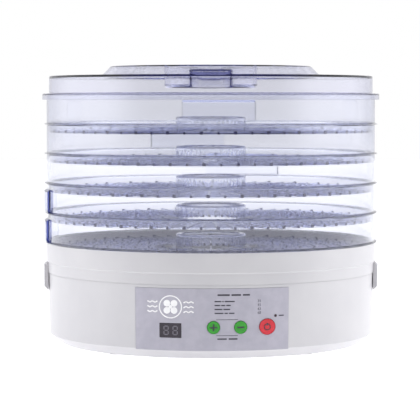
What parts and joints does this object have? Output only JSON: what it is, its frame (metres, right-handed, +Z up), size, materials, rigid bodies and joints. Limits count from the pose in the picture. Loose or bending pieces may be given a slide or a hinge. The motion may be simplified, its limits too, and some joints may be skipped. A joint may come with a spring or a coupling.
{
  "type": "food dehydrator",
  "caption": "Round electric food dehydrator: white base with fan, heater and control label, clear stacking trays with food grids and a clear lid with a grip well.",
  "frame": {"origin": "centre of the round footprint, on the plane that the rubber feet stand on", "axes": "+Z up along the stack's axis, -Y to the front with the control label, +X to the right"},
  "size_m": [0.3292, 0.3292, 0.271],
  "materials": {
    "white_shell": "moulded white ABS, satin gloss",
    "white_underside": "moulded white ABS, fine matt texture",
    "foot_rubber": "matt grey rubber",
    "panel_film": "silver-grey printed film, fine matt",
    "smoked_window": "dark smoked window, glossy",
    "display_case": "black display case",
    "indicator": "small tinted lens",
    "green_button": "glossy green button",
    "red_button": "glossy red button",
    "switch_case": "black switch",
    "circuit_board": "green solder mask",
    "zinc_screw": "zinc plated",
    "transformer_core": "varnished core",
    "relay_case": "blue relay case",
    "capacitor_sleeve": "black sleeve",
    "zinc_sheet": "galvanised sheet",
    "heater_sheath": "dark annealed steel sheath",
    "mica": "pressed mica sheet",
    "steel": "ground steel",
    "fan_plastic": "moulded plastic fan",
    "rotor_metal": "cast rotor",
    "stator_iron": "stacked iron sheets",
    "copper_winding": "enamelled copper winding under tape",
    "bronze": "sintered bronze bush",
    "gland_rubber": "black rubber gland",
    "clear_tray": "clear blue-tinted polystyrene",
    "clear_lid": "clear blue-tinted polystyrene"
  },
  "bodies": {
    "base": {"base_housing": "white_shell", "top_cover": "white_shell", "bottom_cover": "white_underside", "side_grip_left": "white_shell", "side_grip_right": "white_shell", "foot_front_left": "foot_rubber", "foot_front_right": "foot_rubber", "foot_back_left": "foot_rubber", "foot_back_right": "foot_rubber", "control_panel": "panel_film", "display_window": "smoked_window", "display_module": "display_case", "indicator_lens": "indicator", "plus_switch": "switch_case", "minus_switch": "switch_case", "power_switch": "switch_case", "control_board": "circuit_board", "control_board_screws": "zinc_screw", "power_board": "circuit_board", "transformer": "transformer_core", "relay": "relay_case", "capacitor": "capacitor_sleeve", "power_board_screws": "zinc_screw", "air_duct": "zinc_sheet", "outlet_grille": "white_shell", "heater_element": "heater_sheath", "heater_support": "mica", "thermal_cutout": "zinc_sheet", "temperature_probe": "steel", "motor_stator": "stator_iron", "motor_coil": "copper_winding", "lower_bearing": "bronze", "upper_bearing": "bronze", "lower_bracket": "zinc_sheet", "upper_bracket": "zinc_sheet", "bottom_cover_screws": "zinc_screw", "cord_gland": "gland_rubber"},
    "fan_rotor": {"fan": "fan_plastic", "motor_shaft": "steel", "motor_rotor": "rotor_metal"},
    "plus_key": {"plus_button": "green_button"},
    "minus_key": {"minus_button": "green_button"},
    "power_key": {"power_button": "red_button"},
    "tray_5": {"tray_5": "clear_tray"},
    "tray_4": {"tray_4": "clear_tray"},
    "tray_3": {"tray_3": "clear_tray"},
    "tray_2": {"tray_2": "clear_tray"},
    "tray_1": {"tray_1": "clear_tray"},
    "lid": {"lid": "clear_lid"}
  },
  "joints": [
    {"name": "fan_spin", "type": "hinge", "parent": "base", "child": "fan_rotor", "pos_m": [0, 0, 0.03], "axis": [0, 0, 1], "continuous": true},
    {"name": "plus_press", "type": "slide", "parent": "base", "child": "plus_key", "axis": [0, 1, 0], "range_m": [0, 0.0008], "stiffness_N_per_m": 900},
    {"name": "minus_press", "type": "slide", "parent": "base", "child": "minus_key", "axis": [0, 1, 0], "range_m": [0, 0.0008], "stiffness_N_per_m": 900},
    {"name": "power_press", "type": "slide", "parent": "base", "child": "power_key", "axis": [0, 1, 0], "range_m": [0, 0.0008], "stiffness_N_per_m": 900},
    {"name": "tray_5_lift", "type": "slide", "parent": "base", "child": "tray_5", "axis": [0, 0, 1], "range_m": [0, 0.04]},
    {"name": "tray_4_lift", "type": "slide", "parent": "tray_5", "child": "tray_4", "axis": [0, 0, 1], "range_m": [0, 0.04]},
    {"name": "tray_3_lift", "type": "slide", "parent": "tray_4", "child": "tray_3", "axis": [0, 0, 1], "range_m": [0, 0.04]},
    {"name": "tray_2_lift", "type": "slide", "parent": "tray_3", "child": "tray_2", "axis": [0, 0, 1], "range_m": [0, 0.04]},
    {"name": "tray_1_lift", "type": "slide", "parent": "tray_2", "child": "tray_1", "axis": [0, 0, 1], "range_m": [0, 0.04]},
    {"name": "lid_lift", "type": "slide", "parent": "tray_1", "child": "lid", "axis": [0, 0, 1], "range_m": [0, 0.06]}
  ]
}
